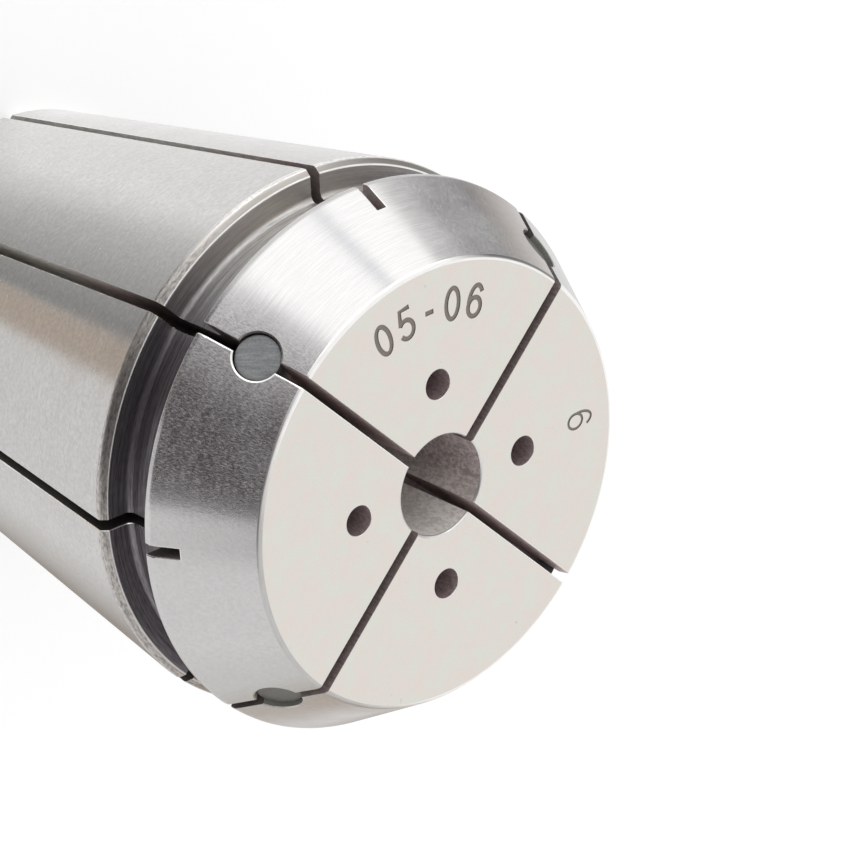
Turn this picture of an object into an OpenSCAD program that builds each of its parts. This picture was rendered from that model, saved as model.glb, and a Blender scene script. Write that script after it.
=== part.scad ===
// Sealed spring collet with a nose cone, an extraction groove and a long taper.
// The axis is Z, the rear face lies on z = 0 and the nose points up.
// Four front slots lie on the X and Y axes, four rear slots lie midway between them.

/* [Taper body] */
// Diameter of the taper's large end and of the nose's rear edge
major_d = 33; // [32.5:0.5:36]
// Height from the rear face to the groove
body_length = 30.3; // [26:0.1:36]
// Half angle of the taper
taper_angle = 8; // [7:0.5:9]
// Chamfer between the taper's large end and the groove
flange_chamfer = 0.38; // [0.2:0.02:0.6]
// Chamfer round the rear face
rear_chamfer = 0.6; // [0.3:0.1:1.2]

/* [Extraction groove] */
// Width of the groove along the axis
groove_width = 3.7; // [3:0.1:5]
// Diameter of the groove's floor
groove_d = 29.2; // [28:0.1:29.6]
// Radius of the fillet in both corners of the groove
groove_fillet = 0.4; // [0.2:0.05:0.5]

/* [Nose] */
// Height of the nose cone from the groove to the front face
nose_length = 6; // [5:0.1:7]
// Half angle of the nose cone
nose_angle = 30; // [27:1:33]
// Height of the narrow cylindrical land at the rear edge of the nose
nose_land = 0.42; // [0.22:0.01:0.5]
// Edge break between that land and the groove's front wall
nose_rear_break = 0.08; // [0.04:0.02:0.2]
// Edge break between the nose cone and the front face
face_break = 0.16; // [0.06:0.02:0.4]

/* [Bore] */
// Diameter of the clamping bore
bore_d = 6; // [3:0.5:8]
// Chamfer at the mouth of the bore
bore_chamfer = 0.16; // [0.1:0.02:0.5]
// Diameter of the relief bore in the rear end
relief_d = 14; // [12:0.5:15]
// Depth of the relief bore's straight part
relief_depth = 15; // [10:0.5:18]
// Half angle of the cone between the relief bore and the clamping bore
relief_angle = 59; // [45:1:65]
// Chamfer at the mouth of the relief bore
relief_chamfer = 0.5; // [0.2:0.1:1]

/* [Slots] */
// Number of slots that are cut from each end
slots_per_end = 4; // [3:1:5]
// Width of every slot
slot_width = 0.64; // [0.5:0.02:1]
// Height of the rear ring that the front slots leave uncut
rear_ring = 7; // [5:0.5:9]
// Thickness of the front web that the rear slots leave uncut
front_web = 4.05; // [3.2:0.05:5]
// Diameter of the saw blade, whose arc the blind end of every slot follows
saw_d = 63; // [56:1:100]

/* [Coolant jets] */
// Diameter of the jet holes in the front face
jet_d = 1.8; // [1:0.1:2.4]
// Diameter of the circle that the jet holes lie on
jet_circle_d = 12.4; // [11.5:0.1:15]
// Length of each jet hole past the end of its rear slot
jet_run = 3.5; // [1:0.5:6]
// Half angle of the drill point at the bottom of each jet hole
drill_angle = 59; // [45:1:65]

/* [Seal plugs] */
// Diameter of the blind holes for the plugs, drilled square to the nose cone
socket_d = 2.7; // [1.8:0.1:3.2]
// Distance along the axis from the front face to the middle of a plug
plug_setback = 2.7; // [2.4:0.1:3]
// Metal left between the bottom of a plug hole and the clamping bore
socket_web = 0.5; // [0.3:0.1:1.5]
// Clearance between a plug and its hole, all round and at the bottom
plug_clearance = 0.02; // [0.01:0.01:0.06]
// Depth of a plug's outer end below the nose cone
plug_recess = 0.32; // [0.1:0.02:0.4]
// Chamfer round a plug's outer end
plug_chamfer = 0.12; // [0.05:0.01:0.3]

/* [Hidden] */
$fn = 96;
// Length by which a cutter runs past the metal
cut_past = 1;

major_r = major_d / 2;
groove_r = groove_d / 2;
bore_r = bore_d / 2;
relief_r = relief_d / 2;
socket_r = socket_d / 2;
saw_r = saw_d / 2;

groove_rear_z = body_length;
groove_front_z = body_length + groove_width;
face_z = groove_front_z + nose_length;
slot_pitch = 360 / slots_per_end;

// Radius of the nose cone and of the taper at a height
function nose_r(z) = major_r - (z - groove_front_z - nose_land) * tan(nose_angle);
function taper_r(z) = major_r - (groove_rear_z - flange_chamfer - z) * tan(taper_angle);

// Turn of a front slot and its plug, the first towards -Y and the rest clockwise from it
function front_turn(i) = -90 - (i - 1) * slot_pitch;

// Turn of the rear slot and the jet hole that follow that front slot
function rear_turn(i) = front_turn(i) - slot_pitch / 2;

face_r = nose_r(face_z);
front_web_z = face_z - front_web;
relief_cone_z = relief_depth + (relief_r - bore_r) / tan(relief_angle);

// Middle of a plug on the nose cone, and the depth of its hole square to the cone
plug_z = face_z - plug_setback;
plug_r = nose_r(plug_z);
socket_end_r = bore_r + socket_web + socket_r * sin(nose_angle);
socket_depth = (plug_r - socket_end_r) / cos(nose_angle);

// Half section of the turned blank, radius against height
outer_profile = [
    [taper_r(0) - rear_chamfer, 0],
    [taper_r(rear_chamfer), rear_chamfer],
    [major_r, groove_rear_z - flange_chamfer],
    [major_r - flange_chamfer, groove_rear_z],
    [groove_r + groove_fillet, groove_rear_z],
    [groove_r + groove_fillet, groove_front_z],
    [major_r - nose_rear_break, groove_front_z],
    [major_r, groove_front_z + nose_rear_break],
    [major_r, groove_front_z + nose_land],
    [nose_r(face_z - face_break), face_z - face_break],
    [face_r - face_break, face_z]
];

inner_profile = [
    [bore_r + bore_chamfer, face_z],
    [bore_r, face_z - bore_chamfer],
    [bore_r, relief_cone_z],
    [relief_r, relief_depth],
    [relief_r, relief_chamfer],
    [relief_r + relief_chamfer, 0]
];

// Section of the groove's floor with its two round corners
module groove_floor() {
    for (z = [groove_rear_z + groove_fillet, groove_front_z - groove_fillet])
        translate([groove_r + groove_fillet, z])
            circle(r = groove_fillet);
    translate([groove_r, groove_rear_z + groove_fillet])
        square([groove_fillet + cut_past, groove_width - 2 * groove_fillet]);
}

module turned_blank() {
    rotate_extrude()
        difference() {
            polygon(concat(outer_profile, inner_profile));
            groove_floor();
        }
}

// One slot cutter from the axis outwards, with a saw blade of which the middle is at a radius and height
module slot_cutter(saw_centre_r, saw_centre_z) {
    rotate([90, 0, 0])
        translate([0, 0, -slot_width / 2])
            linear_extrude(slot_width)
                intersection() {
                    translate([0, -cut_past])
                        square([major_r + cut_past, face_z + 2 * cut_past]);
                    translate([saw_centre_r, saw_centre_z])
                        circle(r = saw_r);
                }
}

module front_slots() {
    for (i = [1 : slots_per_end])
        rotate(front_turn(i))
            slot_cutter(taper_r(rear_ring), rear_ring + saw_r);
}

module rear_slots() {
    for (i = [1 : slots_per_end])
        rotate(rear_turn(i))
            slot_cutter(nose_r(front_web_z), front_web_z - saw_r);
}

// Drilled holes from the front face down into the rear slots
module jet_holes() {
    for (i = [1 : slots_per_end])
        rotate(rear_turn(i))
            translate([jet_circle_d / 2, 0, front_web_z - jet_run])
                jet_drill();
}

module jet_drill() {
    point = jet_d / 2 / tan(drill_angle);
    translate([0, 0, -point])
        cylinder(h = point, r1 = 0, r2 = jet_d / 2);
    cylinder(h = front_web + jet_run + cut_past, d = jet_d);
}

// Puts its children at a plug's place, with Z along the outward normal of the nose cone
module at_plug(i) {
    rotate(front_turn(i))
        translate([plug_r, 0, plug_z])
            rotate([0, 90 - nose_angle, 0])
                children();
}

module plug_sockets() {
    for (i = [1 : slots_per_end])
        at_plug(i)
            translate([0, 0, -socket_depth])
                cylinder(h = socket_depth + cut_past, r = socket_r);
}

// One-piece spring steel body
module collet_body() {
    color([0.72, 0.71, 0.69])
        difference() {
            turned_blank();
            front_slots();
            rear_slots();
            jet_holes();
            plug_sockets();
        }
}

// Rubber plug that seals a front slot
module seal_plug(i) {
    plug_radius = socket_r - plug_clearance;
    plug_length = socket_depth - plug_clearance - plug_recess;
    color([0.42, 0.43, 0.42])
        at_plug(i)
            translate([0, 0, -socket_depth + plug_clearance])
                rotate_extrude()
                    polygon([
                        [0, 0],
                        [plug_radius, 0],
                        [plug_radius, plug_length - plug_chamfer],
                        [plug_radius - plug_chamfer, plug_length],
                        [0, plug_length]
                    ]);
}

collet_body();
for (i = [1 : slots_per_end]) seal_plug(i);
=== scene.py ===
import math

import bmesh
import bpy
from mathutils import Matrix, Vector


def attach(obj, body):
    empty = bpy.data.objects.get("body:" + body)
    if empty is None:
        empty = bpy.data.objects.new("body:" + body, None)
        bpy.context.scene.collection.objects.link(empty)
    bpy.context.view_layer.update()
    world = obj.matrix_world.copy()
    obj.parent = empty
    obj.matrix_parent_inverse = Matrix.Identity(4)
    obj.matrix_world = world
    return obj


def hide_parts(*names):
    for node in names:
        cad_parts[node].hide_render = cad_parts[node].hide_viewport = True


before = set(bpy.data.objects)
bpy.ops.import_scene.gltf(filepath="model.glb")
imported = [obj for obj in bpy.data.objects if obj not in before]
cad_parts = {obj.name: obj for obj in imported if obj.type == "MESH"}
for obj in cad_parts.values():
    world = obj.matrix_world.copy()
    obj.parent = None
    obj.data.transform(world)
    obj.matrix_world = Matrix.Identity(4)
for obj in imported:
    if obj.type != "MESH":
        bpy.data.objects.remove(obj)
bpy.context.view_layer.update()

MM = 0.001
BODY = "collet_body"
PLUGS = sorted(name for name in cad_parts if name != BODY)

# Sizes in millimetres, counts and angles, as the solids have them
MAJOR_R = 16.5
BODY_LENGTH = 30.3
TAPER_ANGLE = math.radians(8)
FLANGE_CHAMFER = 0.38
REAR_CHAMFER = 0.6
GROOVE_R = 14.6
GROOVE_FILLET = 0.4
GROOVE_WIDTH = 3.7
NOSE_LENGTH = 6.0
NOSE_ANGLE = math.radians(30)
NOSE_LAND = 0.42
NOSE_BREAK = 0.08
BORE_R = 3.0
RELIEF_R = 7.0
RELIEF_DEPTH = 15.0
RELIEF_ANGLE = math.radians(59)
RELIEF_CHAMFER = 0.5
SLOTS = 4
FIRST_SLOT_DEGREES = -90
SLOT_WIDTH = 0.64
REAR_RING = 7.0
FRONT_WEB = 4.05
SAW_R = 31.5
JET_R = 0.9
JET_CIRCLE_R = 6.2
JET_RUN = 3.5
DRILL_ANGLE = math.radians(59)
SOCKET_R = 1.35
SOCKET_WEB = 0.5
PLUG_SETBACK = 2.7
PLUG_CLEARANCE = 0.02
PLUG_RECESS = 0.32
PLUG_CHAMFER = 0.12

# Chamfers at the face's rim and the bore's mouth, finer than the solid's 0.16
FACE_BREAK = 0.11
BORE_CHAMFER = 0.11

# Heights of the groove's front wall and the face, and corners of the section as radius and height
GROOVE_FRONT_Z = BODY_LENGTH + GROOVE_WIDTH
FACE_Z = GROOVE_FRONT_Z + NOSE_LENGTH
FLANGE_REAR = (MAJOR_R, BODY_LENGTH - FLANGE_CHAMFER)
FLANGE_FRONT = (MAJOR_R - FLANGE_CHAMFER, BODY_LENGTH)
NOSE_REAR = (MAJOR_R - NOSE_BREAK, GROOVE_FRONT_Z)
LAND_REAR = (MAJOR_R, GROOVE_FRONT_Z + NOSE_BREAK)
LAND_FRONT = (MAJOR_R, GROOVE_FRONT_Z + NOSE_LAND)

# Fineness of the meshes, and the heights or radii of the rows on long stretches
TURN_STEPS = 480
HOLE_STEPS = 72
ROUND_STEPS = 3
WIDE_ROUND_STEPS = 8
FILLET_STEPS = 8
SAW_STEPS = 24
CARD_STEPS = 12
FLOOR_STEPS = 96
PLUG_ROUND_STEPS = 4
TAPER_ROWS = (6, 12, 18, 24)
NOSE_ROWS = (35.5, 37.0, 38.5)
FACE_ROWS = (10.0, 6.0)
BORE_ROWS = (36.0, 30.0, 24.0)
PLUG_FLANK_ROW = -2.0
PLUG_END_SHARES = (0.8, 0.5, 0.2, 0.02)

# Places on long stretches of the section that only show a corner which way its sides run
LOW_TAPER_Z = 10
HIGH_TAPER_Z = 20
NOSE_GUIDE_Z = 36
FACE_GUIDE_R = 10
BORE_GUIDE_Z = 10

# Widths of the small edge breaks along slots and holes, and roundings of the turned edges
SLOT_BREAK = 0.04
NOSE_SLOT_BREAK = 0.065
HOLE_BREAK = 0.02
SOCKET_BREAK = 0.11
FLANGE_BREAK = 0.06
FLANGE_ROUND = 0.26
CORNER_ROUND = 0.05
LAND_ROUND = 0.12
FACE_ROUND = 0.07

# How an edge break is cut: its slope, how far its cutter stands past it, and how uneven its width is
SHALLOW_BREAK = 0.45
BREAK_RISE = 0.05
BREAK_SINK = 0.03
BREAK_STEP = 0.35
BREAK_WOBBLE = 0.5
BREAK_LEAST = 0.6
BREAK_GAIN = 0.8
WAVES = ((2.3, 5.1), (6.7, 2.9), (13.1, 1.7))
MITRE_LIMIT = 0.3

# How far the other cutters pass the part, and limits of the meshes
CUT_PAST = 0.4
DRILL_TIP_R = 0.02
TINY = 1e-9
SHARP_ANGLE = math.radians(28)

# Engraved digits, the floor and its light, and what the materials share
MARK_DEPTH = 0.035
MARK_BASE_R = 9.75
DIGIT_HEIGHT = 2.0
FLOOR_DROP = 0.02
FLOOR_R = 1500
FLOOR_SHADE = 0.8
FLOOR_SEEN = 0.55
SOFT_LIGHT = 0.9
WHITE = (1, 1, 1, 1)
GIRTH_R = 15
BUMP_DEPTH = 0.02
OIL_Z = 32.3
RUBBER_LINES_DEGREES = -122

REGIONS = (
    "taper", "nose", "face", "groove", "flange", "edge", "bore", "relief", "rear", "slot", "break", "drill",
    "mark",
)
STRAIGHT = ("taper", "nose", "face", "bore", "relief", "rear")


def nose_radius(z):
    """Radius of the nose cone at a height."""
    return MAJOR_R - (z - GROOVE_FRONT_Z - NOSE_LAND) * math.tan(NOSE_ANGLE)


def taper_radius(z):
    """Radius of the long taper at a height."""
    return MAJOR_R - (BODY_LENGTH - FLANGE_CHAMFER - z) * math.tan(TAPER_ANGLE)


def on_nose(z):
    return (nose_radius(z), z)


def on_taper(z):
    return (taper_radius(z), z)


def arc(centre, radius, start, end, steps):
    """Points of an arc in the section plane, radius against height, with angles in degrees."""
    points = []
    for i in range(steps + 1):
        angle = math.radians(start + (end - start) * i / steps)
        points.append((centre[0] + radius * math.cos(angle), centre[1] + radius * math.sin(angle)))
    return points


def rounded(corner, before, after, size, steps=ROUND_STEPS):
    """Points that round a corner of the section, from one side of it to the other."""
    corner, before, after = Vector(corner), Vector(before), Vector(after)
    start = corner + (before - corner).normalized() * size
    end = corner + (after - corner).normalized() * size
    points = []
    for i in range(steps + 1):
        t = i / steps
        point = start * (1 - t) ** 2 + corner * 2 * t * (1 - t) + end * t ** 2
        points.append((point.x, point.y))
    return points


def chamfer(before, start, end, after, size=CORNER_ROUND):
    """Points of a straight chamfer in the section, with its own corners slightly rounded."""
    return rounded(start, before, end, size) + rounded(end, start, after, size)


def rear_chamfer():
    start = (taper_radius(0) - REAR_CHAMFER, 0)
    return chamfer((0, 0), start, on_taper(REAR_CHAMFER), on_taper(LOW_TAPER_Z))


def face_chamfer():
    start = on_nose(FACE_Z - FACE_BREAK)
    end = (nose_radius(FACE_Z) - FACE_BREAK, FACE_Z)
    return chamfer(on_nose(NOSE_GUIDE_Z), start, end, (0, FACE_Z), FACE_ROUND)


def bore_chamfer():
    start = (BORE_R + BORE_CHAMFER, FACE_Z)
    end = (BORE_R, FACE_Z - BORE_CHAMFER)
    return chamfer((FACE_GUIDE_R, FACE_Z), start, end, (BORE_R, BORE_GUIDE_Z))


def nose_rear_chamfer():
    return chamfer((GROOVE_R, GROOVE_FRONT_Z), NOSE_REAR, LAND_REAR, (MAJOR_R, FACE_Z), CORNER_ROUND / 2)


def groove_floor_points():
    """The extraction groove's floor with its two filleted corners, from rear to front."""
    inner_r = GROOVE_R + GROOVE_FILLET
    rear = arc((inner_r, BODY_LENGTH + GROOVE_FILLET), GROOVE_FILLET, 270, 180, FILLET_STEPS)
    front = arc((inner_r, GROOVE_FRONT_Z - GROOVE_FILLET), GROOVE_FILLET, 180, 90, FILLET_STEPS)
    return rear + front


def section():
    """The body's closed half section: its points, each after the region of the stretch that follows it."""
    relief_cone_z = RELIEF_DEPTH + (RELIEF_R - BORE_R) / math.tan(RELIEF_ANGLE)
    rows = []

    def run(region, points, last=None):
        rows.extend((region, point) for point in points)
        if last:
            rows[-1] = (last, rows[-1][1])

    run("rear", [(RELIEF_R + RELIEF_CHAMFER, 0)])
    run("edge", rear_chamfer(), "taper")
    run("taper", [on_taper(z) for z in TAPER_ROWS])
    behind = on_taper(HIGH_TAPER_Z)
    run("flange", rounded(FLANGE_REAR, behind, FLANGE_FRONT, FLANGE_ROUND, WIDE_ROUND_STEPS))
    run("edge", rounded(FLANGE_FRONT, FLANGE_REAR, (GROOVE_R, BODY_LENGTH), FLANGE_BREAK), "groove")
    run("groove", groove_floor_points())
    run("edge", nose_rear_chamfer(), "nose")
    run("nose", rounded(LAND_FRONT, (MAJOR_R, GROOVE_FRONT_Z), on_nose(NOSE_GUIDE_Z), LAND_ROUND))
    run("nose", [on_nose(z) for z in NOSE_ROWS])
    run("edge", face_chamfer(), "face")
    run("face", [(r, FACE_Z) for r in FACE_ROWS])
    run("edge", bore_chamfer(), "bore")
    run("bore", [(BORE_R, z) for z in BORE_ROWS])
    run("relief", [(BORE_R, relief_cone_z), (RELIEF_R, RELIEF_DEPTH), (RELIEF_R, RELIEF_CHAMFER)])
    return rows


def new_object(name, grid):
    """An object in the scene from a bmesh in millimetres, whose faces carry their region's number."""
    mesh = bpy.data.meshes.new(name)
    bmesh.ops.recalc_face_normals(grid, faces=grid.faces)
    bmesh.ops.scale(grid, vec=(MM, MM, MM), verts=grid.verts)
    grid.to_mesh(mesh)
    grid.free()
    made = bpy.data.objects.new(name, mesh)
    bpy.context.scene.collection.objects.link(made)
    return made


def skin(grid, rings, region, closed=False, first=None):
    """Quads between rings of points, capped or closed into a loop, where the first pair may differ."""
    index = REGIONS.index(region)
    index_first = REGIONS.index(first or region)
    rows = [[grid.verts.new(point) for point in ring] for ring in rings]
    pairs = list(zip(rows, rows[1:]))
    if closed:
        pairs.append((rows[-1], rows[0]))
    for number, (here, there) in enumerate(pairs):
        for i, _ in enumerate(here):
            k = (i + 1) % len(here)
            quad = grid.faces.new((here[i], here[k], there[k], there[i]))
            quad.material_index = index if number else index_first
    if not closed:
        grid.faces.new(rows[0]).material_index = index
        grid.faces.new(list(reversed(rows[-1]))).material_index = index


def turned_blank():
    """The body before it is slotted and drilled: one closed surface of revolution."""
    rows = section()
    grid = bmesh.new()
    rings = []
    for i in range(TURN_STEPS):
        angle = 2 * math.pi * (i + 0.5) / TURN_STEPS
        turn = (math.cos(angle), math.sin(angle))
        rings.append([grid.verts.new((r * turn[0], r * turn[1], z)) for _, (r, z) in rows])
    for i in range(TURN_STEPS):
        here, there = rings[i], rings[(i + 1) % TURN_STEPS]
        for j, (region, _) in enumerate(rows):
            k = (j + 1) % len(rows)
            quad = grid.faces.new((here[j], there[j], there[k], here[k]))
            quad.material_index = REGIONS.index(region)
    return new_object(BODY + "_detail", grid)


def outline_from(start_z):
    """Section points that a slot's edges follow, from a height on the taper round to the bore's mouth."""
    points = [on_taper(start_z), FLANGE_REAR, FLANGE_FRONT]
    points.extend(groove_floor_points())
    points.extend((NOSE_REAR, LAND_REAR, LAND_FRONT))
    points.extend(face_chamfer())
    points.append((BORE_R - CUT_PAST, FACE_Z))
    return points


def outline_to(end_z):
    """Section points that a slot's edges follow, from the relief round the rear to a height on the nose."""
    points = [(RELIEF_R - CUT_PAST, 0)] + rear_chamfer()
    for point in outline_from(LOW_TAPER_Z)[1:]:
        if point[1] <= LAND_FRONT[1]:
            points.append(point)
    points.append(on_nose(end_z))
    return points


def divided(points, step):
    """The same path with points no further apart than a step."""
    finer = [points[0]]
    for here, there in zip(points, points[1:]):
        parts = max(1, math.ceil(math.dist(here, there) / step))
        for k in range(1, parts + 1):
            share = k / parts
            finer.append(tuple(a + (b - a) * share for a, b in zip(here, there)))
    return finer


def wobble(place, phase):
    """A smooth uneven wave between about -1 and 1, different for each phase."""
    return sum(math.sin(pace * place + shift * phase) for pace, shift in WAVES) / len(WAVES)


def outward_normals(points):
    """Normals on the right of a path's segments, longer where they are mitred at its points."""
    sides = []
    for here, there in zip(points, points[1:]):
        along = (Vector(there) - Vector(here)).normalized()
        sides.append(Vector((along.y, -along.x)))
    normals = [sides[0]]
    for before, after in zip(sides, sides[1:]):
        middle = (before + after).normalized()
        normals.append(middle / max(middle.dot(before), MITRE_LIMIT))
    normals.append(sides[-1])
    return normals


def break_size(radius, z, facing):
    """Size of a slot's edge break, wider along the nose cone and where the break faces -X."""
    along_nose = z > GROOVE_FRONT_Z and radius > nose_radius(FACE_Z)
    size = NOSE_SLOT_BREAK if along_nose else SLOT_BREAK
    return size * (BREAK_LEAST + BREAK_GAIN * max(0.0, -math.cos(facing)))


def break_slope(z):
    """Depth of a slot's edge break as a share of its width: shallow on the nose cone and the face."""
    return SHALLOW_BREAK if z > LAND_FRONT[1] else 1.0


def edge_break(points, turn, blind_start=False, blind_end=False):
    """A V-shaped cutter along a slot's two edges, where a blind end slopes as its sides do."""
    grid = bmesh.new()
    points = divided(points, BREAK_STEP)
    normals = outward_normals(points)
    rings = []
    last = len(points) - 1
    gone = 0.0
    for i, (point, normal) in enumerate(zip(points, normals)):
        place = Vector(point)
        gone += math.dist(point, points[max(i - 1, 0)])
        ends = (i == 0 and blind_start) or (i == last and blind_end)
        slope = break_slope(point[1])
        rise = BREAK_RISE / slope
        sink = BREAK_SINK / slope
        outer, inner = [], []
        for way in (1, -1):
            size = break_size(*point, turn - way * math.pi / 2)
            top = place + normal * BREAK_RISE
            bottom = place - normal * (size * slope + BREAK_SINK)
            if ends:
                inward = Vector(points[1]) - place if i == 0 else Vector(points[-2]) - place
                inward.normalize()
                top = top - inward * (size + rise)
                bottom = bottom + inward * sink
            uneven = size * BREAK_WOBBLE * wobble(gone, turn + way)
            outer.append((top, way * (SLOT_WIDTH / 2 + size + rise + uneven)))
            inner.append((bottom, way * (SLOT_WIDTH / 2 - sink)))
        ring = outer + inner[::-1]
        rings.append([turned_point(p.x, p.y, side, turn) for p, side in ring])
    skin(grid, rings, "break")
    return new_object("slot_break", grid)


def turned_point(radius, z, side, turn):
    """A point at a radius and height, set sideways, on the half plane at an angle round Z."""
    x = radius * math.cos(turn) - side * math.sin(turn)
    y = radius * math.sin(turn) + side * math.cos(turn)
    return (x, y, z)


def slot_cutter(turn, open_z, end):
    """The saw cut itself, from the axis outwards, whose blind end is the arc of the blade."""
    grid = bmesh.new()
    end_r, end_z = end
    half = SLOT_WIDTH / 2
    reach = MAJOR_R + CUT_PAST
    forward = math.copysign(1, end_z - open_z)
    corners = [(0, open_z), (reach, open_z)]
    for k in range(SAW_STEPS + 1):
        radius = reach * (1 - k / SAW_STEPS)
        rise = math.sqrt(SAW_R ** 2 - (radius - end_r) ** 2)
        corners.append((radius, end_z + forward * (rise - SAW_R)))
    rings = [[turned_point(r, z, side, turn) for r, z in corners] for side in (half, -half)]
    skin(grid, rings, "slot")
    return new_object("slot_cut", grid)


def ring_points(radius, height):
    """A circle's points, where the height may be a function of the angle."""
    points = []
    for i in range(HOLE_STEPS):
        angle = 2 * math.pi * (i + 0.5) / HOLE_STEPS
        z = height(angle) if callable(height) else height
        points.append(Vector((radius * math.cos(angle), radius * math.sin(angle), z)))
    return points


def hole_cutter(place, rows):
    """A round cutter from (radius, height) rows, set in place by a matrix."""
    grid = bmesh.new()
    skin(grid, [ring_points(radius, height) for radius, height in rows], "drill", first="break")
    bmesh.ops.transform(grid, matrix=place, verts=grid.verts)
    return new_object("hole_cut", grid)


def front_turn(i):
    """Angle round Z of a front slot."""
    return math.radians(FIRST_SLOT_DEGREES - 360 / SLOTS * i)


def rear_turn(i):
    """Angle round Z of a rear slot, midway between two front ones."""
    return front_turn(i) - math.radians(360 / SLOTS / 2)


def plug_place(i):
    """Matrix from a plug's own axis to its place, square to the nose cone."""
    z = FACE_Z - PLUG_SETBACK
    turn = Matrix.Rotation(front_turn(i), 4, "Z")
    lean = Matrix.Rotation(math.pi / 2 - NOSE_ANGLE, 4, "Y")
    return turn @ Matrix.Translation((nose_radius(z), 0, z)) @ lean


def socket_depth():
    """Depth of a plug's socket along its axis, which leaves a web to the bore."""
    end_r = BORE_R + SOCKET_WEB + SOCKET_R * math.sin(NOSE_ANGLE)
    return (nose_radius(FACE_Z - PLUG_SETBACK) - end_r) / math.cos(NOSE_ANGLE)


def socket_sag(angle):
    """Height of the nose cone at a socket's rim, at an angle round the plug's axis."""
    curve = nose_radius(FACE_Z - PLUG_SETBACK) / math.cos(NOSE_ANGLE)
    return -(SOCKET_R * math.sin(angle)) ** 2 / (2 * curve)


def socket_cutter(i):
    """A plug's socket with its rim broken along the cone."""
    wide = SOCKET_R + SOCKET_BREAK + BREAK_RISE / SHALLOW_BREAK
    rows = [
        (wide, lambda angle: socket_sag(angle) + BREAK_RISE),
        (SOCKET_R, lambda angle: socket_sag(angle) - SOCKET_BREAK * SHALLOW_BREAK),
        (SOCKET_R, -SOCKET_R),
        (SOCKET_R, -socket_depth()),
    ]
    return hole_cutter(plug_place(i), rows)


def jet_cutter(i):
    """A coolant jet down to its drill point, with its rim broken."""
    bottom = FACE_Z - FRONT_WEB - JET_RUN
    point = JET_R / math.tan(DRILL_ANGLE)
    rows = [
        (JET_R + HOLE_BREAK + BREAK_RISE, FACE_Z + BREAK_RISE),
        (JET_R, FACE_Z - HOLE_BREAK),
        (JET_R, bottom),
        (DRILL_TIP_R, bottom - point),
    ]
    place = Matrix.Rotation(rear_turn(i), 4, "Z") @ Matrix.Translation((JET_CIRCLE_R, 0, 0))
    return hole_cutter(place, rows)


def ellipse(centre, half_width, half_height, start, end, steps=20):
    """Points of an ellipse's arc in a digit's own frame, with angles in degrees."""
    points = []
    for i in range(steps + 1):
        angle = math.radians(start + (end - start) * i / steps)
        points.append((centre[0] + half_width * math.cos(angle), centre[1] + half_height * math.sin(angle)))
    return points


def digit_strokes(digit):
    """A digit's centre lines within its height, from the middle of its foot, as (closed, points) pairs."""
    if digit == "0":
        return [(True, ellipse((0, 1.0), 0.46, 0.9, 0, 345, 27))]
    if digit == "5":
        return [
            (False, [(0.42, 1.9), (-0.3, 1.9), (-0.42, 0.98)]),
            (False, ellipse((-0.04, 0.66), 0.5, 0.56, 145, -150)),
        ]
    if digit == "6":
        return [
            (True, ellipse((0, 0.65), 0.46, 0.55, 0, 342, 19)),
            (False, ellipse((0.03, 0.95), 0.49, 0.95, 38, 190)),
        ]
    return [(False, [(-0.3, 0.92), (0.3, 0.92)])]


def stroke_cutter(points, closed, width, place):
    """A shallow trench along a centre line, where place turns the digit's frame to the face's."""
    grid = bmesh.new()
    rings = []
    count = len(points)
    for i, point in enumerate(points):
        before = points[i - 1] if closed or i else point
        after = points[(i + 1) % count] if closed or i < count - 1 else point
        along = (Vector(after) - Vector(before)).normalized()
        side = Vector((-along.y, along.x)) * width / 2
        left, right = Vector(point) + side, Vector(point) - side
        ring = [(left, MARK_DEPTH), (left, -CUT_PAST), (right, -CUT_PAST), (right, MARK_DEPTH)]
        rings.append([(*place(p.x, p.y), FACE_Z - depth) for p, depth in ring])
    skin(grid, rings, "mark", closed)
    return new_object("mark_cut", grid)


def number_cutters(text, middle, pitch, width):
    """Cutters for a number that runs clockwise round the face, top outwards, about a middle angle."""
    made = []
    for k, digit in enumerate(text):
        gone = (k - (len(text) - 1) / 2) * pitch
        turn = math.radians(middle) - gone / (MARK_BASE_R + DIGIT_HEIGHT / 2)
        out = Vector((math.cos(turn), math.sin(turn)))
        across = Vector((math.sin(turn), -math.cos(turn)))

        def place(x, y, out=out, across=across):
            return out * (MARK_BASE_R + y) + across * x

        for closed, points in digit_strokes(digit):
            made.append(stroke_cutter(points, closed, width, place))
    return made


def cutters():
    """Every cut that makes the collet out of its blank, in order."""
    made = number_cutters("05-06", middle=-132.8, pitch=1.72, width=0.29)
    made += number_cutters("6", middle=137.4, pitch=1.6, width=0.17)
    front_end = FACE_Z - FRONT_WEB
    for i in range(SLOTS):
        made.append(slot_cutter(front_turn(i), FACE_Z + CUT_PAST, on_taper(REAR_RING)))
        made.append(slot_cutter(rear_turn(i), -CUT_PAST, on_nose(front_end)))
        made.append(edge_break(outline_from(REAR_RING), front_turn(i), blind_start=True))
        made.append(edge_break(outline_to(front_end), rear_turn(i), blind_end=True))
        made.append(socket_cutter(i))
        made.append(jet_cutter(i))
    return made


def cut(blank, tools):
    """Takes the tools out of the blank, one by one, and leaves a plain mesh."""
    for tool in tools:
        modifier = blank.modifiers.new("cut", "BOOLEAN")
        modifier.operation = "DIFFERENCE"
        modifier.solver = "MANIFOLD"
        modifier.object = tool
    graph = bpy.context.evaluated_depsgraph_get()
    mesh = bpy.data.meshes.new_from_object(blank.evaluated_get(graph))
    blank.modifiers.clear()
    blank.data = mesh
    for tool in tools:
        bpy.data.objects.remove(tool)
    return blank


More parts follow.
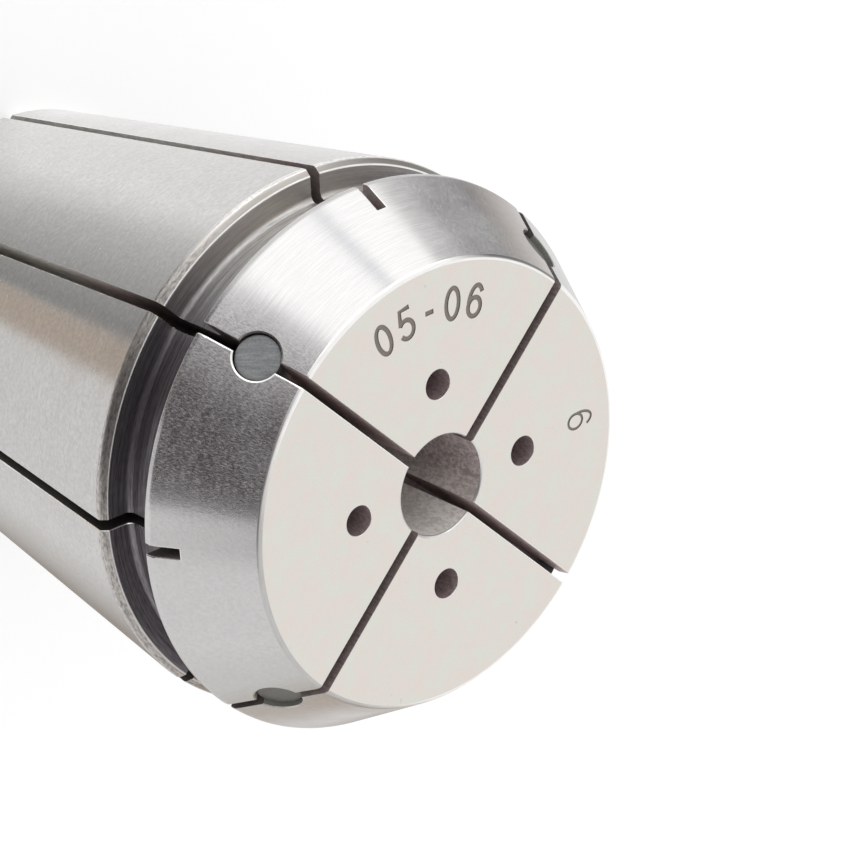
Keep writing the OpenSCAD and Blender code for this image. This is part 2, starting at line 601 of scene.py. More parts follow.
def dress(made, finishes):
    """Puts a list of materials on a mesh whose faces already carry their numbers."""
    slots = made.data.materials
    while len(slots) < len(finishes):
        slots.append(None)
    for k, finish in enumerate(finishes):
        slots[k] = finish


def set_normals(made):
    """Sharp edges by angle, and true turned normals on the straight stretches of the section."""
    mesh = made.data
    mesh.shade_smooth()
    mesh.set_sharp_from_angle(angle=SHARP_ANGLE)
    normals = [corner.vector.copy() for corner in mesh.corner_normals]
    straight = {REGIONS.index(name) for name in STRAIGHT}
    for face in mesh.polygons:
        if face.material_index not in straight:
            continue
        centre = face.center
        flat = face.normal
        radial = flat.x * centre.x + flat.y * centre.y
        side = math.copysign(math.hypot(flat.x, flat.y), radial)
        for k in face.loop_indices:
            place = mesh.vertices[mesh.loops[k].vertex_index].co
            reach = max(math.hypot(place.x, place.y), TINY)
            normals[k] = Vector((place.x / reach * side, place.y / reach * side, flat.z))
    mesh.normals_split_custom_set(normals)


def build_body():
    """The collet's one steel piece."""
    body = cut(turned_blank(), cutters())
    set_normals(body)
    return body


def grey(value, warmth=0.0):
    """A steel colour of a brightness, a little warmer than neutral."""
    return (value, value * (1 - warmth / 2), value * (1 - warmth), 1)


class Nodes:
    """A short way to write a material's node tree."""

    def __init__(self, tree):
        self.tree = tree
        self.tree.nodes.clear()

    def add(self, kind, inputs=(), **settings):
        """A node with its settings, and its inputs by name or number: values or other nodes' outputs."""
        node = self.tree.nodes.new(kind)
        for name, value in settings.items():
            setattr(node, name, value)
        for key, value in dict(inputs).items():
            self.feed(node.inputs[key], value)
        return node

    def feed(self, socket, value):
        """Links an output into a socket, or sets the socket's own value."""
        if isinstance(value, bpy.types.Node):
            value = value.outputs[0]
        if isinstance(value, bpy.types.NodeSocket):
            self.tree.links.new(value, socket)
        else:
            socket.default_value = value

    def math(self, operation, a, b=0.0, clamp=False):
        node = self.add("ShaderNodeMath", {0: a, 1: b}, operation=operation, use_clamp=clamp)
        return node.outputs[0]

    def times(self, a, b):
        return self.math("MULTIPLY", a, b)

    def weighted(self, first, second, share):
        """Two numbers added up, the first by its share and the second by the share that is left."""
        return self.math("ADD", self.times(first, share), self.times(second, 1 - share))

    def ramp(self, value, low, high, to_low=0.0, to_high=1.0):
        """A value carried from one range to another, and held at its ends."""
        sockets = {"Value": value, "From Min": low, "From Max": high, "To Min": to_low, "To Max": to_high}
        return self.add("ShaderNodeMapRange", sockets).outputs[0]

    def mixed(self, kind, share, first, second):
        node = self.add("ShaderNodeMix", data_type=kind)
        self.feed(node.inputs["Factor"], share)
        self.feed(node.inputs["A"], first)
        self.feed(node.inputs["B"], second)
        return node.outputs["Result"]

    def blend(self, share, first, second):
        """One colour under another, by the share of the second."""
        return self.mixed("RGBA", share, first, second)

    def mix(self, share, first, second):
        """A number between two others, by the share of the second."""
        return self.mixed("FLOAT", share, first, second)

    def parts(self, vector):
        """The three numbers of a vector."""
        return self.add("ShaderNodeSeparateXYZ", {0: vector}).outputs

    def scaled(self, vector, scale):
        node = self.add("ShaderNodeVectorMath", {0: vector, 1: scale}, operation="MULTIPLY")
        return node.outputs[0]

    def position(self):
        """The place on the object in millimetres."""
        place = self.add("ShaderNodeTexCoord").outputs["Object"]
        return self.scaled(place, (1 / MM, 1 / MM, 1 / MM))

    def wrapped(self):
        """The place unrolled round Z in millimetres: along the girth, along the axis and outwards."""
        x, y, z = self.parts(self.position())
        around = self.times(self.math("ARCTAN2", y, x), GIRTH_R)
        flat = self.add("ShaderNodeCombineXYZ", {0: x, 1: y, 2: 0.0})
        radius = self.add("ShaderNodeVectorMath", {0: flat}, operation="LENGTH")
        return self.add("ShaderNodeCombineXYZ", {0: around, 1: z, 2: radius.outputs["Value"]}).outputs[0]

    def away(self, azimuth):
        """Degrees round Z from an azimuth, counted without passing the half turn at -X."""
        x, y, _ = self.parts(self.position())
        gone = self.math("SUBTRACT", self.math("ARCTAN2", y, x), math.radians(azimuth))
        return self.math("DEGREES", self.math("ABSOLUTE", gone))

    def near(self, azimuth, full, none, share=1.0, rest=0.0):
        """A share, held up to some degrees from an azimuth and faded to the rest at some more."""
        return self.ramp(self.away(azimuth), full, none, share, rest)

    def off_plane(self):
        """Distance in millimetres from the upright plane through the X axis."""
        return self.math("ABSOLUTE", self.parts(self.position())[1])

    def noise(self, place, scale, detail=2.0, roughness=0.5):
        sockets = {"Vector": place, "Scale": scale, "Detail": detail, "Roughness": roughness}
        return self.add("ShaderNodeTexNoise", sockets).outputs["Fac"]

    def drawn(self, place, fineness, detail=3.0, roughness=0.5):
        """Noise with a fineness of its own along each of the place's three directions."""
        return self.noise(self.scaled(place, fineness), 1.0, detail, roughness)

    def bump(self, height, strength, depth=BUMP_DEPTH):
        """A relief by a height from 0 to 1, with its depth in millimetres."""
        return self.add("ShaderNodeBump", {"Strength": strength, "Distance": depth * MM, "Height": height})

    def steel(self, tint, roughness, relief, metallic=1.0, brushed=0.0):
        """A metal surface, whose reflections are drawn out where it is brushed round Z."""
        inputs = {"Base Color": tint, "Metallic": metallic, "Roughness": roughness, "Normal": relief}
        if brushed:
            tangent = self.add("ShaderNodeTangent", direction_type="RADIAL", axis="Z")
            inputs.update({"Anisotropic": brushed, "Anisotropic Rotation": 0.25, "Tangent": tangent})
        return self.add("ShaderNodeBsdfPrincipled", inputs)


def material(name, build):
    """A material whose nodes a function builds: it returns the surface shader."""
    made = bpy.data.materials.new(name)
    made.use_nodes = True
    nodes = Nodes(made.node_tree)
    shader = build(nodes)
    output = nodes.add("ShaderNodeOutputMaterial")
    nodes.feed(output.inputs["Surface"], shader)
    return made


# Patches round the nose cone: azimuth, degrees at full share, degrees at none, share and colour
NOSE_PATCHES = (
    (-8, 3, 14, 0.3, (0.36, 0.35, 0.33, 1)),
    (-170, 4, 11, 0.4, (0.34, 0.27, 0.21, 1)),
    (-152, 3, 9, 0.3, grey(0.74, 0.02)),
    (-55, 3, 8, 0.3, grey(0.74, 0.02)),
)


def nose_steel(nodes):
    """The nose cone: ground round its axis, satin on one side and rubbed into fine scratches on another."""
    place = nodes.wrapped()
    scratches = nodes.drawn(place, (14.0, 4.5, 4.5), 4.0, 0.7)
    sparse = nodes.drawn(place, (10.0, 2.2, 2.2), 2.0)
    lines = nodes.drawn(place, (0.5, 12.0, 12.0), 3.0, 0.6)
    satin = nodes.drawn(place, (5.0, 4.0, 4.0), 4.0, 0.6)
    mottle = nodes.drawn(place, (0.3, 0.45, 0.45))
    front = nodes.near(-78, 17, 27, 1.0, 0.05)
    upper = nodes.near(-160, 13, 24)
    rubbed = nodes.math("MAXIMUM", front, upper)
    plain = nodes.mix(nodes.ramp(nodes.away(-30), 40, 70), satin, lines)
    grain = nodes.mix(rubbed, plain, scratches)
    lowest = nodes.mix(rubbed, 0.82, 0.0)
    shade = nodes.ramp(nodes.weighted(grain, mottle, 0.75), 0.4, 0.6, lowest, 1.0)
    tint = nodes.blend(shade, (0.36, 0.335, 0.345, 1), grey(0.58, 0.02))
    for azimuth, full, none, share, colour in NOSE_PATCHES:
        tint = nodes.blend(nodes.near(azimuth, full, none, share), tint, colour)
    fine = nodes.ramp(scratches, 0.4, 0.7, 0.0, 0.4)
    bright = nodes.ramp(sparse, 0.66, 0.74, 0.0, 0.5)
    pale = nodes.times(rubbed, nodes.math("MAXIMUM", fine, bright))
    metallic = nodes.math("SUBTRACT", 1.0, pale)
    roughness = nodes.ramp(mottle, 0.25, 0.75, 0.2, 0.28)
    return nodes.steel(tint, roughness, nodes.bump(grain, 0.25), metallic, brushed=0.8)


def taper_steel(nodes):
    """The long taper: finely ground and nearly even, with a soft mottle and a few glittering specks."""
    place = nodes.wrapped()
    mottle = nodes.noise(place, 4.2, 5.0, 0.65)
    lines = nodes.drawn(place, (0.8, 10.0, 10.0))
    cloud = nodes.drawn(place, (0.35, 0.5, 0.5))
    glints = nodes.ramp(nodes.noise(place, 8.0, 1.0), 0.72, 0.8)
    grain = nodes.weighted(mottle, lines, 0.75)
    tint = nodes.blend(nodes.ramp(grain, 0.4, 0.6), grey(0.495, 0.04), grey(0.595, 0.03))
    tint = nodes.blend(nodes.ramp(cloud, 0.3, 0.7, 0.0, 0.3), tint, grey(0.52, 0.1))
    tint = nodes.blend(glints, tint, grey(0.8, 0.02))
    metallic = nodes.math("SUBTRACT", 1.0, nodes.times(glints, 0.4))
    roughness = nodes.ramp(cloud, 0.25, 0.75, 0.17, 0.23)
    return nodes.steel(tint, roughness, nodes.bump(grain, 0.2), metallic, brushed=0.5)


def turned_groove(nodes):
    """The groove's turned walls: dark streaks round the girth, and painted light that makes one side
    brighter.
    """
    place = nodes.wrapped()
    streaks = nodes.drawn(place, (0.25, 7.0, 7.0), 3.0, 0.6)
    fine = nodes.drawn(place, (2.0, 14.0, 14.0), 2.0)
    marks = nodes.weighted(streaks, fine, 0.7)
    # Painted light: the walls round -129 degrees are coloured brighter, as if lit
    one_side = nodes.near(-129, 10, 43)
    dark = nodes.blend(one_side, (0.10, 0.088, 0.096, 1), (0.335, 0.33, 0.325, 1))
    pale = nodes.blend(one_side, (0.32, 0.30, 0.32, 1), (0.67, 0.665, 0.65, 1))
    tint = nodes.blend(nodes.ramp(marks, 0.34, 0.68), dark, pale)
    height = nodes.parts(place)[1]
    rear_wall = nodes.ramp(height, BODY_LENGTH + 0.12, BODY_LENGTH + 0.04, 0.0, 0.5)
    tint = nodes.blend(nodes.times(rear_wall, one_side), tint, (0.44, 0.365, 0.31, 1))
    roughness = nodes.ramp(marks, 0.3, 0.7, 0.4, 0.3)
    return nodes.steel(tint, roughness, nodes.bump(marks, 0.5), 0.9, brushed=0.7)


def bore_steel(nodes):
    """The bore's scaly wall, with painted light that makes one side brighter."""
    place = nodes.position()
    scale = nodes.noise(nodes.scaled(place, (1, 1, 0.6)), 5.0, 5.0, 0.7)
    cloud = nodes.noise(place, 0.7, 2.0)
    # Painted light: the wall round 20 degrees is coloured brighter, as if lit
    one_side = nodes.near(20, 45, 105)
    dark = nodes.blend(one_side, (0.32, 0.265, 0.26, 1), (0.76, 0.71, 0.66, 1))
    pale = nodes.blend(one_side, (0.60, 0.52, 0.51, 1), (1.0, 0.97, 0.93, 1))
    tint = nodes.blend(nodes.ramp(nodes.weighted(scale, cloud, 0.75), 0.43, 0.57), dark, pale)
    roughness = nodes.ramp(scale, 0.3, 0.7, 0.5, 0.35)
    return nodes.steel(tint, roughness, nodes.bump(scale, 0.8, 0.05), 0.05)


def face_steel(nodes):
    """The satin front face, with a faint pink and green bloom, fine grain and a few small pits."""
    place = nodes.position()
    grain = nodes.noise(place, 11.0, 2.0)
    bloom = nodes.noise(place, 0.7, 4.0, 0.6)
    spots = nodes.noise(place, 1.9, 1.0)
    tint = nodes.blend(nodes.ramp(bloom, 0.4, 0.6), (0.735, 0.745, 0.68, 1), (0.79, 0.71, 0.67, 1))
    tint = nodes.blend(nodes.ramp(grain, 0.3, 0.7, 0.0, 0.6), tint, (0.70, 0.675, 0.63, 1))
    tint = nodes.blend(nodes.ramp(spots, 0.77, 0.8, 0.0, 0.25), tint, (0.36, 0.34, 0.32, 1))
    roughness = nodes.ramp(bloom, 0.3, 0.7, 0.38, 0.46)
    return nodes.steel(tint, roughness, nodes.bump(grain, 0.25))


def slot_oil(nodes, height, radius):
    """How black with oil a sawn wall is: most round the groove, and half as much in one rear slot."""
    off_groove = nodes.math("ABSOLUTE", nodes.math("SUBTRACT", height, OIL_Z))
    black_share = nodes.times(nodes.ramp(off_groove, 2.3, 7.5, 0.9, 0.0), nodes.ramp(radius, 10.5, 12.5))
    return nodes.times(black_share, nodes.near(-135, 12, 25, 0.5, 1.0))


def slot_steel(nodes):
    """A sawn wall: pale towards the rear as painted light, brown with dried oil in front, black round the
    groove, and darkened by painted shade on the taper away from -105 degrees.
    """
    fine = nodes.drawn(nodes.position(), (6.7, 6.7, 2.0))
    _, height, radius = nodes.parts(nodes.wrapped())
    shade = nodes.ramp(fine, 0.3, 0.65)
    across = nodes.ramp(nodes.off_plane(), 0.4, 0.8)
    brighter_share = nodes.times(nodes.near(90, 40, 60), nodes.ramp(height, 36, 39))
    lowest = nodes.blend(across, (0.2, 0.16, 0.155, 1), (0.4, 0.32, 0.31, 1))
    lowest = nodes.blend(brighter_share, lowest, (0.6, 0.52, 0.51, 1))
    highest = nodes.blend(across, (0.34, 0.275, 0.265, 1), (0.66, 0.55, 0.53, 1))
    highest = nodes.blend(brighter_share, highest, (0.8, 0.7, 0.69, 1))
    brown = nodes.blend(shade, lowest, highest)
    # Painted light: towards the rear the walls are coloured pale, as if lit through the opening
    pale = nodes.blend(shade, (0.6, 0.58, 0.55, 1), (0.9, 0.88, 0.84, 1))
    tint = nodes.blend(nodes.ramp(height, 18, 27), pale, brown)
    # Painted shade: on the taper, walls away from -105 degrees are coloured nearly black, as if unlit
    painted_shade = nodes.times(nodes.ramp(nodes.away(-105), 20, 48), nodes.ramp(height, 34, 30))
    tint = nodes.blend(painted_shade, tint, (0.1, 0.092, 0.085, 1))
    tint = nodes.blend(slot_oil(nodes, height, radius), tint, (0.035, 0.028, 0.028, 1))
    roughness = nodes.ramp(fine, 0.3, 0.7, 0.45, 0.55)
    return nodes.steel(tint, roughness, nodes.bump(fine, 0.4), 0.2)


def flange_steel(nodes):
    """The chamfer behind the groove: darker between its corners, which carry painted highlights, and
    speckled on one side.
    """
    place = nodes.wrapped()
    one_side = nodes.near(-40, 60, 78)
    marks = nodes.drawn(place, (3.0, 9.0, 9.0), 4.0, 0.65)
    lines = nodes.drawn(place, (0.3, 14.0, 14.0), 2.0)
    specks = nodes.mix(one_side, lines, marks)
    _, height, radius = nodes.parts(place)
    # Painted highlights: both corners of the chamfer are coloured brighter than its middle
    inner = nodes.ramp(radius, MAJOR_R - FLANGE_CHAMFER, MAJOR_R - 0.8 * FLANGE_CHAMFER)
    outer = nodes.ramp(radius, MAJOR_R, MAJOR_R - 0.3 * FLANGE_CHAMFER)
    middle = nodes.times(inner, outer)
    dark = nodes.blend(middle, grey(0.36, 0.05), (0.2, 0.19, 0.195, 1))
    pale = nodes.blend(middle, grey(0.66, 0.08), (0.5, 0.465, 0.425, 1))
    spotty = nodes.blend(nodes.ramp(specks, 0.36, 0.62), dark, pale)
    # Painted highlights on the smooth side: the corners are coloured nearly white
    lip = nodes.ramp(height, BODY_LENGTH - FLANGE_CHAMFER, BODY_LENGTH - 0.75 * FLANGE_CHAMFER)
    smooth = nodes.blend(nodes.times(inner, lip), grey(0.94, 0.03), grey(0.34, 0.08))
    smooth = nodes.blend(nodes.ramp(lines, 0.4, 0.65, 0.0, 0.35), smooth, grey(0.4, 0.08))
    smooth = nodes.blend(nodes.ramp(marks, 0.5, 0.62, 0.0, 0.55), smooth, (0.4, 0.34, 0.26, 1))
    tint = nodes.blend(one_side, smooth, spotty)
    roughness = nodes.ramp(specks, 0.3, 0.7, 0.34, 0.26)
    return nodes.steel(tint, roughness, nodes.bump(specks, 0.7))


def edge_steel(nodes):
    """The turned edge breaks: polished, darker on one side as painted shade and darker at the bore, and
    dark on part of the rim.
    """
    place = nodes.wrapped()
    radius = nodes.parts(place)[2]
    marks = nodes.drawn(place, (1.0, 12.0, 12.0))
    at_bore = nodes.ramp(radius, 4.0, 5.0, 0.5, 0.0)
    # Painted shade: the edges round -20 degrees are coloured darker, as if unlit; they are partly darker at
    # the bore too
    darker_share = nodes.math("MAXIMUM", nodes.near(-20, 35, 60), at_bore)
    rim = nodes.times(nodes.ramp(radius, 13.2, 13.27), nodes.ramp(radius, 14.0, 14.2, 1.0, 0.0))
    # Darker on the rim round -172 degrees
    dark_rim = nodes.times(rim, nodes.near(-172, 18, 32, 0.9))
    dark = nodes.blend(darker_share, grey(0.87, 0.05), grey(0.49, 0.05))
    pale = nodes.blend(darker_share, grey(0.95, 0.03), grey(0.53, 0.04))
    tint = nodes.blend(nodes.ramp(marks, 0.36, 0.62), dark, pale)
    tint = nodes.blend(dark_rim, tint, grey(0.14))
    roughness = nodes.ramp(marks, 0.3, 0.7, 0.34, 0.27)
    return nodes.steel(tint, roughness, nodes.bump(marks, 0.08))


def break_steel(nodes):
    """The broken edges of slots and holes: bright, but dark along two slots, and dark on one side of a
    third as painted shade.
    """
    fine = nodes.noise(nodes.position(), 10.0, 3.0)
    # Dark along the slots near the plane of the X axis, and painted shade on one side of the -90 degree
    # slot's edges
    brighter_share = nodes.ramp(nodes.off_plane(), 1.3, 1.6)
    brighter_share = nodes.times(brighter_share, nodes.ramp(nodes.away(-97), 6.9, 7.1))
    dark = nodes.blend(brighter_share, grey(0.26, 0.06), grey(0.78, 0.04))
    pale = nodes.blend(brighter_share, grey(0.4, 0.06), grey(0.92, 0.03))
    tint = nodes.blend(nodes.ramp(fine, 0.3, 0.65), dark, pale)
    roughness = nodes.ramp(fine, 0.3, 0.7, 0.22, 0.3)
    return nodes.steel(tint, roughness, nodes.bump(fine, 0.2))


def drilled_steel(nodes):
    """Walls of the drilled holes: brown and scored; at two plugs black with painted shade, at the other two
    mid grey.
    """
    fine = nodes.drawn(nodes.position(), (10.0, 10.0, 4.0))
    radius = nodes.parts(nodes.wrapped())[2]
    brown = nodes.blend(nodes.ramp(fine, 0.3, 0.65), (0.3, 0.23, 0.235, 1), (0.52, 0.41, 0.415, 1))
    # Painted shade: the sockets of the plugs at -90 and 90 degrees are coloured black, the other two mid
    # grey
    black_share = nodes.ramp(nodes.off_plane(), 1.5, 3.0)
    socket = nodes.blend(black_share, (0.24, 0.235, 0.215, 1), (0.035, 0.03, 0.03, 1))
    tint = nodes.blend(nodes.ramp(radius, 8.0, 10.0), brown, socket)
    roughness = nodes.ramp(fine, 0.3, 0.7, 0.36, 0.44)
    return nodes.steel(tint, roughness, nodes.bump(fine, 0.5), 0.35)


def plain_steel(nodes, pale, dark, rough, grain, bump, stretch=(1, 1, 1)):
    """Steel with an even grain of a size in millimetres: the relief bore, the rear end and the marks."""
    place = nodes.position()
    fine = nodes.drawn(place, tuple(s / grain for s in stretch))
    mottle = nodes.noise(place, 0.6, 4.0)
    warmer = (pale[0] * 0.97, pale[1] * 0.93, pale[2] * 0.9, 1)
    tint = nodes.blend(nodes.ramp(fine, 0.3, 0.65), dark, pale)
    tint = nodes.blend(nodes.ramp(mottle, 0.35, 0.7, 0.0, 0.3), tint, warmer)
    roughness = nodes.ramp(mottle, 0.3, 0.7, rough * 0.9, rough * 1.1)
    return nodes.steel(tint, roughness, nodes.bump(fine, bump))


def relief_steel(nodes):
    """The relief bore's wall, with fine turned rings."""
    return plain_steel(nodes, grey(0.40, 0.1), grey(0.3, 0.1), 0.45, 0.12, 0.3, (1, 1, 4))


def rear_steel(nodes):
    """The flat rear end."""
    return plain_steel(nodes, grey(0.62, 0.05), grey(0.55, 0.05), 0.36, 0.08, 0.2)


def mark_steel(nodes):
    """The dark engraved strokes."""
    return plain_steel(nodes, grey(0.27, 0.2), grey(0.2, 0.22), 0.5, 0.05, 0.3)


def steel_materials():
    """The body's materials, in the order of its regions."""
    made = {
        "taper": taper_steel,
        "nose": nose_steel,
        "face": face_steel,
        "groove": turned_groove,
        "flange": flange_steel,
        "edge": edge_steel,
        "bore": bore_steel,
        "relief": relief_steel,
        "rear": rear_steel,
        "slot": slot_steel,
        "break": break_steel,
        "drill": drilled_steel,
        "mark": mark_steel,
    }
    return [material("steel_" + name, made[name]) for name in REGIONS]


def rubber(nodes):
    """Matt grey sealing rubber with faint drawn lines across its end, paler on the plug at -90 degrees."""
    across = (0, 0, math.radians(RUBBER_LINES_DEGREES))
    place = nodes.add("ShaderNodeMapping", {0: nodes.wrapped(), "Rotation": across})
    lines = nodes.drawn(place, (0.8, 9.0, 1.0))
    specks = nodes.noise(nodes.position(), 9.0, 3.0)
    grain = nodes.weighted(lines, specks, 0.6)
    # Paler on the plug at -90 degrees, darker on the other three
    paler_plug = nodes.near(-90, 30, 80)
    dark = nodes.blend(paler_plug, (0.064, 0.063, 0.056, 1), (0.165, 0.172, 0.178, 1))
    pale = nodes.blend(paler_plug, (0.11, 0.108, 0.096, 1), (0.31, 0.316, 0.32, 1))
    return nodes.add("ShaderNodeBsdfPrincipled", {
        "Base Color": nodes.blend(nodes.ramp(grain, 0.35, 0.65), dark, pale),
        "Roughness": nodes.ramp(grain, 0.3, 0.7, 0.3, 0.42), "Normal": nodes.bump(grain, 0.3),
        "Sheen Weight": 0.15, "Sheen Roughness": 0.4,
    })


def rubber_side(nodes):
    """The plug's flank where the slot shows it: black outside as painted shadow, dust-brown inside."""
    grain = nodes.noise(nodes.position(), 5.0, 3.0)
    radius = nodes.parts(nodes.wrapped())[2]
    brown = nodes.blend(nodes.ramp(grain, 0.3, 0.7), (0.3, 0.235, 0.23, 1), (0.44, 0.35, 0.34, 1))
    # Painted shadow: the flank's outer part is coloured nearly black
    tint = nodes.blend(nodes.ramp(radius, 11.5, 13.0), brown, (0.035, 0.031, 0.03, 1))
    roughness = nodes.ramp(grain, 0.3, 0.7, 0.5, 0.65)
    return nodes.add("ShaderNodeBsdfPrincipled", {"Base Color": tint, "Roughness": roughness})


def build_plug(name, i):
    """One sealing plug: a pin with a slightly rounded, recessed end, whose flank has the second finish."""
    radius = SOCKET_R - PLUG_CLEARANCE
    foot = -socket_depth() + PLUG_CLEARANCE
    flank_top = -PLUG_RECESS - PLUG_CHAMFER / 4
    grid = bmesh.new()
    rows = [(radius, foot), (radius, PLUG_FLANK_ROW)]
    for k in range(PLUG_ROUND_STEPS + 1):
        turn = math.pi / 2 * k / PLUG_ROUND_STEPS
        inset = PLUG_CHAMFER * (1 - math.cos(turn))
        drop = PLUG_CHAMFER * (1 - math.sin(turn))
        rows.append((radius - inset, -PLUG_RECESS - drop))
    for share in PLUG_END_SHARES:
        rows.append(((radius - PLUG_CHAMFER) * share, -PLUG_RECESS))
    skin(grid, [ring_points(r, h) for r, h in rows], REGIONS[0])
    for face in grid.faces:
        face.material_index = int(face.calc_center_median().z < flank_top)
    bmesh.ops.transform(grid, matrix=plug_place(i), verts=grid.verts)
    return new_object(name + "_detail", grid)


def lit(nodes, colour, strength):
    """Plain light of a colour."""
    return nodes.add("ShaderNodeEmission", {"Color": colour, "Strength": strength})


def seen_directly(nodes):
    """One for rays from the camera and for those that a mirror or glass sends on."""
    path = nodes.add("ShaderNodeLightPath")
    rays = nodes.math("ADD", path.outputs["Is Camera Ray"], path.outputs["Is Glossy Ray"])
    return nodes.math("ADD", rays, path.outputs["Is Transmission Ray"], clamp=True)


def build_world():
    """White where it is seen or mirrored, and a plain soft light elsewhere."""
    world = bpy.data.worlds.new("studio")
    world.use_nodes = True
    bpy.context.scene.world = world
    nodes = Nodes(world.node_tree)
    white = nodes.add("ShaderNodeBackground", {"Color": WHITE, "Strength": 1.0})
    soft = nodes.add("ShaderNodeBackground", {"Color": WHITE, "Strength": SOFT_LIGHT})
    mixed = nodes.add("ShaderNodeMixShader", {0: seen_directly(nodes), 1: soft, 2: white})
    output = nodes.add("ShaderNodeOutputWorld")
    nodes.feed(output.inputs["Surface"], mixed)


def floor_surface(nodes):
    """A pale floor that shows white and keeps a soft shadow."""
    shade = nodes.add("ShaderNodeBsdfDiffuse", {"Color": grey(FLOOR_SHADE)})
    pale = nodes.add("ShaderNodeBsdfDiffuse", {"Color": grey(FLOOR_SEEN)})
    seen = nodes.add("ShaderNodeAddShader", {0: pale, 1: lit(nodes, WHITE, FLOOR_SEEN)})
    return nodes.add("ShaderNodeMixShader", {0: seen_directly(nodes), 1: shade, 2: seen})


def build_floor():
    """A wide round floor under the object."""
    grid = bmesh.new()
    low = Matrix.Translation((0, 0, -FLOOR_DROP))
    bmesh.ops.create_circle(grid, cap_ends=True, segments=FLOOR_STEPS, radius=FLOOR_R, matrix=low)
    floor = new_object("floor", grid)
    floor.data.materials.append(material("pale_floor", floor_surface))


def card_surface(nodes, colour, strength, soft):
    """A card's light, faded out towards its edges by shares of its width and height."""
    place = nodes.add("ShaderNodeTexCoord").outputs["UV"]
    x, y, _ = nodes.parts(place)
    left, right, low, high = soft
    share = nodes.times(nodes.ramp(x, 0.0, left), nodes.ramp(x, 1.0, 1.0 - right))
    share = nodes.times(share, nodes.ramp(y, 0.0, low))
    share = nodes.times(share, nodes.ramp(y, 1.0, 1.0 - high))
    clear = nodes.add("ShaderNodeBsdfTransparent")
    return nodes.add("ShaderNodeMixShader", {0: share, 1: clear, 2: lit(nodes, colour, strength)})


def card(name, corners, colour, strength, soft):
    """A studio card, seen only in reflections: low left and right corners in millimetres, then high."""
    grid = bmesh.new()
    shares = grid.loops.layers.uv.new("share")
    low_left, low_right, high_left, high_right = (Vector(corner) for corner in corners)
    rows = []
    for j in range(CARD_STEPS + 1):
        left = low_left.lerp(high_left, j / CARD_STEPS)
        right = low_right.lerp(high_right, j / CARD_STEPS)
        rows.append([grid.verts.new(left.lerp(right, i / CARD_STEPS)) for i in range(CARD_STEPS + 1)])
    for j in range(CARD_STEPS):
        for i in range(CARD_STEPS):
            quad = grid.faces.new((rows[j][i], rows[j][i + 1], rows[j + 1][i + 1], rows[j + 1][i]))
            for loop, (a, b) in zip(quad.loops, ((i, j), (i + 1, j), (i + 1, j + 1), (i, j + 1))):
                loop[shares].uv = (a / CARD_STEPS, b / CARD_STEPS)
    made = new_object(name, grid)
    made.data.materials.append(material(name, lambda nodes: card_surface(nodes, colour, strength, soft)))
    made.visible_camera = False
    made.visible_diffuse = False
    made.visible_shadow = False


def standing_card(name, azimuth, distance, span, heights, colour, strength, soft):
    """An upright card across an azimuth, at a distance from the axis, between two sideways places."""
    turn = math.radians(azimuth)
    out = Vector((math.cos(turn), math.sin(turn), 0)) * distance
    side = Vector((-math.sin(turn), math.cos(turn), 0))
    corners = [out + side * sideways + Vector((0, 0, z)) for z in heights for sideways in span]
    card(name, corners, colour, strength, soft)


def floor_card(name, height, corners, colour, strength, soft):
    """A card that lies just over the floor: near left and right corners seen from the axis, then far."""
    card(name, [(x, y, height) for x, y in corners], colour, strength, soft)


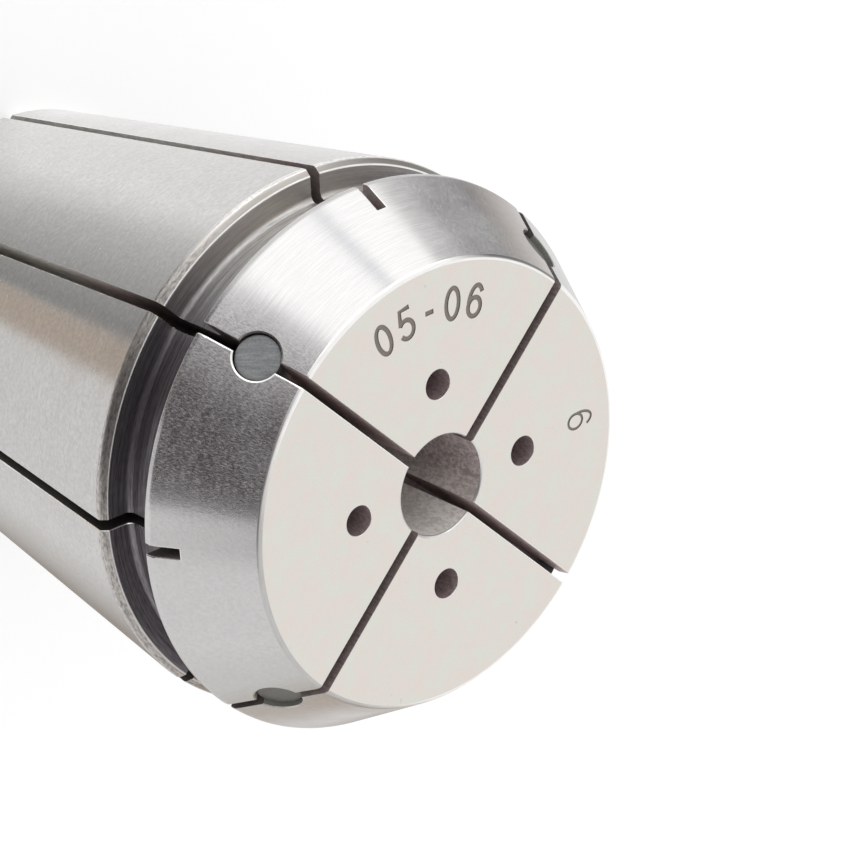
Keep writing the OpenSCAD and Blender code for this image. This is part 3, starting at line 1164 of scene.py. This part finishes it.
def build_cards():
    """Light and dark cards that shape the reflections round the cone and the taper.

    The last four numbers of each are the shares over which it fades at its left, right, low and high edge.
    """
    cool = (0.9, 0.93, 1.0, 1)
    rose = (1.0, 0.93, 0.96, 1)
    sand = (1.0, 0.85, 0.72, 1)
    tan = (1.0, 0.865, 0.745, 1)
    pale_sand = (1.0, 0.89, 0.80, 1)
    standing_card("softbox", 214, 110, (-58, 79), (-1, 120), WHITE, 1.83, (0.08, 0.12, 0.1, 0.2))
    standing_card("softbox_seam", 211.9, 100, (-5, 5), (2, 118), cool, 1.1, (0.4, 0.4, 0.1, 0.2))
    standing_card("flag", 290, 70, (-44, 42), (0.5, 170), rose, 0.165, (0.42, 0.01, 0.02, 0.1))
    standing_card("high_flag", 333, 70, (-18, 12), (44, 115), WHITE, 0.12, (0.2, 0.4, 0.3, 0.3))
    standing_card("grey_side", 157, 80, (-17, 35), (1, 60), WHITE, 0.5, (0.3, 0.15, 0.1, 0.3))
    standing_card("warm_side", 52, 80, (-30, 40), (1, 60), sand, 0.6, (0.3, 0.3, 0.1, 0.3))
    wedge = [(-3.5, -13.1), (1.0, -13.1), (-33, -35), (6.8, -45)]
    floor_card("shade", 0.2, wedge, WHITE, 0.88, (0.06, 0.02, 0.01, 0.2))
    floor_card("shade_side", 0.3, wedge, WHITE, 0.4, (0.9, 0.02, 0.01, 0.2))
    strip = [(0.6, -11), (2.0, -11), (6.4, -45), (22.8, -45)]
    floor_card("tan_strip", 0.4, strip, tan, 0.67, (0.04, 0.2, 0.01, 0.1))
    beyond = [(-14, -36), (17, -36), (-34, -69), (42, -69)]
    floor_card("dark_floor", 0.5, beyond, WHITE, 0.12, (0.2, 0.05, 0.15, 0.01))
    left_side = [(-14, 16), (-5.5, -14.4), (-42, 20), (-33, -35)]
    floor_card("low_white", 0.3, left_side, WHITE, 1.22, (0.85, 0.12, 0.12, 0.3))
    right_side = [(12, -5), (7, 11), (45, 8), (12, 85)]
    floor_card("side_sand", 0.3, right_side, pale_sand, 0.375, (0.35, 0.05, 0.05, 0.1))


# The photograph's camera: its place in metres, its directions, and its lens and sensor in millimetres
CAMERA_PLACE = (0.02335014, -0.15075190, 0.18068299)
CAMERA_RIGHT = (-0.49663, 0.55347, 0.66860)
CAMERA_UP = (-0.85903, -0.42368, -0.28735)
FOCAL_LENGTH = 156.62
SENSOR_WIDTH = 36.0


def build_camera():
    """The photograph's camera: long lens, rolled so that the collet lies over to the left."""
    data = bpy.data.cameras.new("camera")
    data.sensor_width = SENSOR_WIDTH
    data.lens = FOCAL_LENGTH
    data.clip_start = 0.01
    camera = bpy.data.objects.new("camera", data)
    bpy.context.scene.collection.objects.link(camera)
    right = Vector(CAMERA_RIGHT).normalized()
    up = Vector(CAMERA_UP)
    up = (up - right * up.dot(right)).normalized()
    place = Matrix((right, up, right.cross(up))).transposed().to_4x4()
    place.translation = Vector(CAMERA_PLACE)
    camera.matrix_world = place
    bpy.context.scene.camera = camera


bpy.context.scene.view_settings.view_transform = "Standard"
build_camera()
build_world()
build_floor()
build_cards()

body = build_body()
dress(body, steel_materials())
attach(body, "root")
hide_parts(BODY)

rubber_finishes = [material("seal_rubber", rubber), material("seal_rubber_side", rubber_side)]
for i, name in enumerate(PLUGS):
    plug = build_plug(name, i)
    plug.data.shade_smooth()
    plug.data.set_sharp_from_angle(angle=SHARP_ANGLE)
    dress(plug, rubber_finishes)
    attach(plug, "root")
    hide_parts(name)
